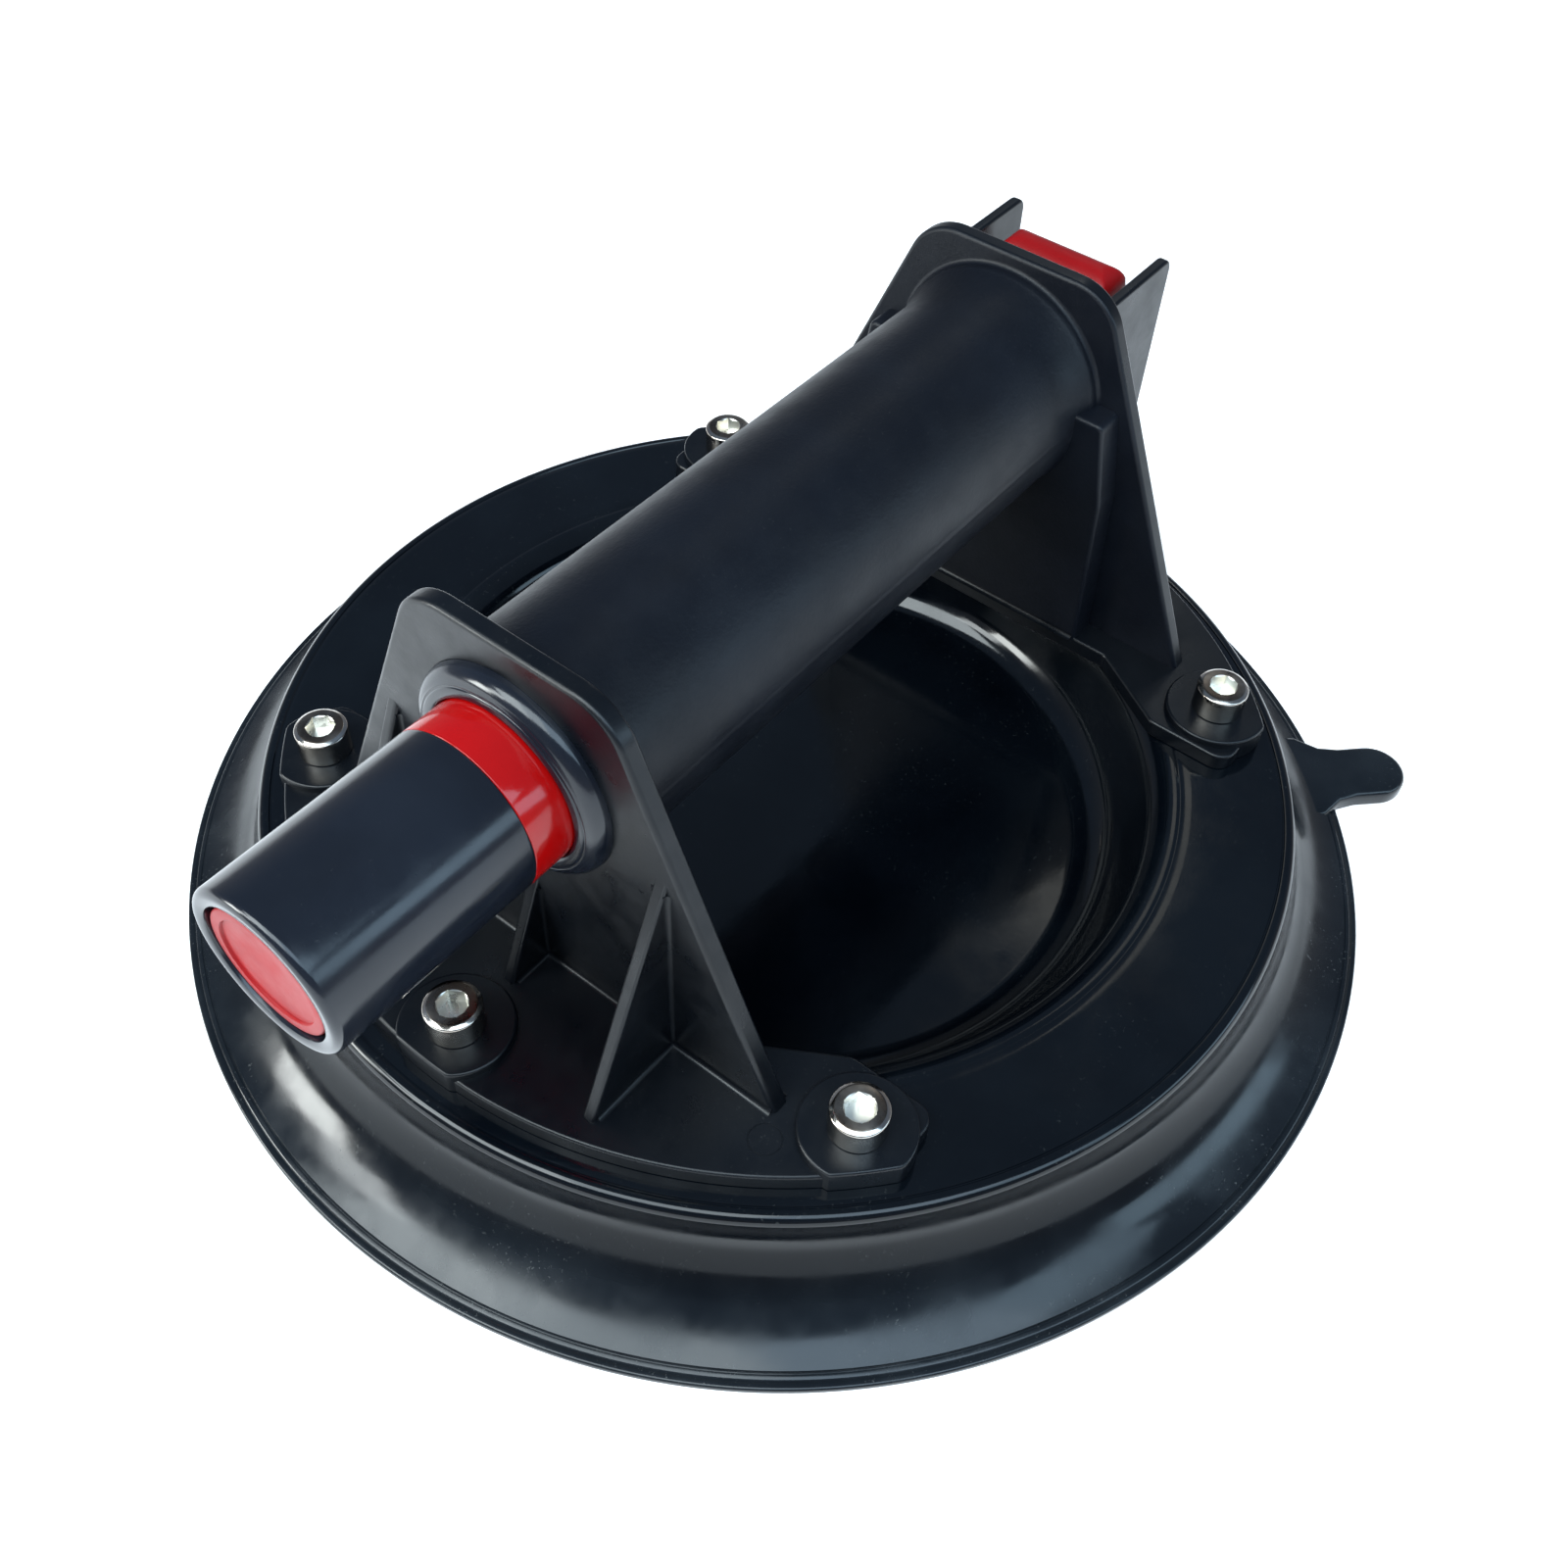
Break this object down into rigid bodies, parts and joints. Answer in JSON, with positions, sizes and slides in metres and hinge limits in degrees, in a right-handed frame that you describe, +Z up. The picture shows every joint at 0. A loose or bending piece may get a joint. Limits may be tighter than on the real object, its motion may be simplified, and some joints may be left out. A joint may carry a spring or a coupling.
{
  "type": "vacuum suction cup",
  "caption": "Round rubber suction pad with a bridge handle, a hand pump plunger with a red vacuum indicator band inside the grip, and a red release lever at the far end.",
  "frame": {"origin": "centre of the round pad, on the flat surface that its lip seals on", "axes": "+Z up through the pad's middle towards the grip, X along the grip with the plunger at -X and the release lever at +X, +Y to the left of a person who looks along +X"},
  "size_m": [0.2, 0.2, 0.086],
  "materials": {
    "pad_rubber": "glossy moulded black rubber with dust on the lip",
    "handle_plastic": "black moulded plastic, glossy brackets and a finely textured grip",
    "cap_plastic": "glossy black moulded plastic",
    "red_plastic": "glossy bright red moulded plastic",
    "lever_plastic": "darker red moulded plastic, satin",
    "white_plastic": "natural white acetal",
    "seal_rubber": "soft black rubber",
    "stainless": "bright stainless steel",
    "plated_steel": "zinc plated steel",
    "spring_steel": "drawn spring wire",
    "barrel_aluminium": "honed tube",
    "brass": "turned brass",
    "filter_felt": "pressed felt"
  },
  "bodies": {
    "base": {"suction_pad": "pad_rubber", "backing_ring": "plated_steel", "weld_nuts": "plated_steel", "port_seal": "seal_rubber", "intake_filter": "filter_felt", "filter_ring": "seal_rubber", "handle_frame": "handle_plastic", "foot_screws": "stainless", "gland_collar": "cap_plastic", "gland_wiper": "seal_rubber", "pump_barrel": "barrel_aluminium", "valve_body": "white_plastic", "valve_body_seals": "seal_rubber", "valve_retainer": "white_plastic", "vacuum_pipe": "barrel_aluminium", "release_seat": "brass", "lever_pin": "plated_steel", "return_spring": "spring_steel", "check_spring": "spring_steel", "release_spring": "spring_steel"},
    "plunger": {"plunger_core": "white_plastic", "plunger_cap": "cap_plastic", "indicator_band": "red_plastic", "end_disc": "red_plastic", "cup_seal": "seal_rubber", "seal_washer": "plated_steel", "piston_screw": "stainless"},
    "check_valve": {"check_disc": "seal_rubber"},
    "lever": {"release_lever": "lever_plastic"},
    "stem": {"release_stem": "stainless", "stem_seal": "seal_rubber"}
  },
  "joints": [
    {"name": "plunger_slide", "type": "slide", "parent": "base", "child": "plunger", "axis": [1, 0, 0], "range_m": [0, 0.034], "stiffness_N_per_m": 250, "springref_m": -0.012, "deforming": ["return_spring"]},
    {"name": "check_valve_lift", "type": "slide", "parent": "base", "child": "check_valve", "axis": [-1, 0, 0], "range_m": [0, 0.0012], "stiffness_N_per_m": 20, "springref_m": -0.002, "deforming": ["check_spring"]},
    {"name": "lever_press", "type": "hinge", "parent": "base", "child": "lever", "pos_m": [0.0745, 0, 0.044], "axis": [0, -1, 0], "range_deg": [0, 8], "stiffness_Nm_per_rad": 0.3, "springref_deg": -8.59},
    {"name": "stem_slide", "type": "slide", "parent": "base", "child": "stem", "axis": [-1, 0, 0], "range_m": [0, 0.003], "deforming": ["release_spring"]}
  ],
  "couplings": [
    {"joint": "stem_slide", "follows": "lever_press", "m_per_rad": 0.0207}
  ]
}
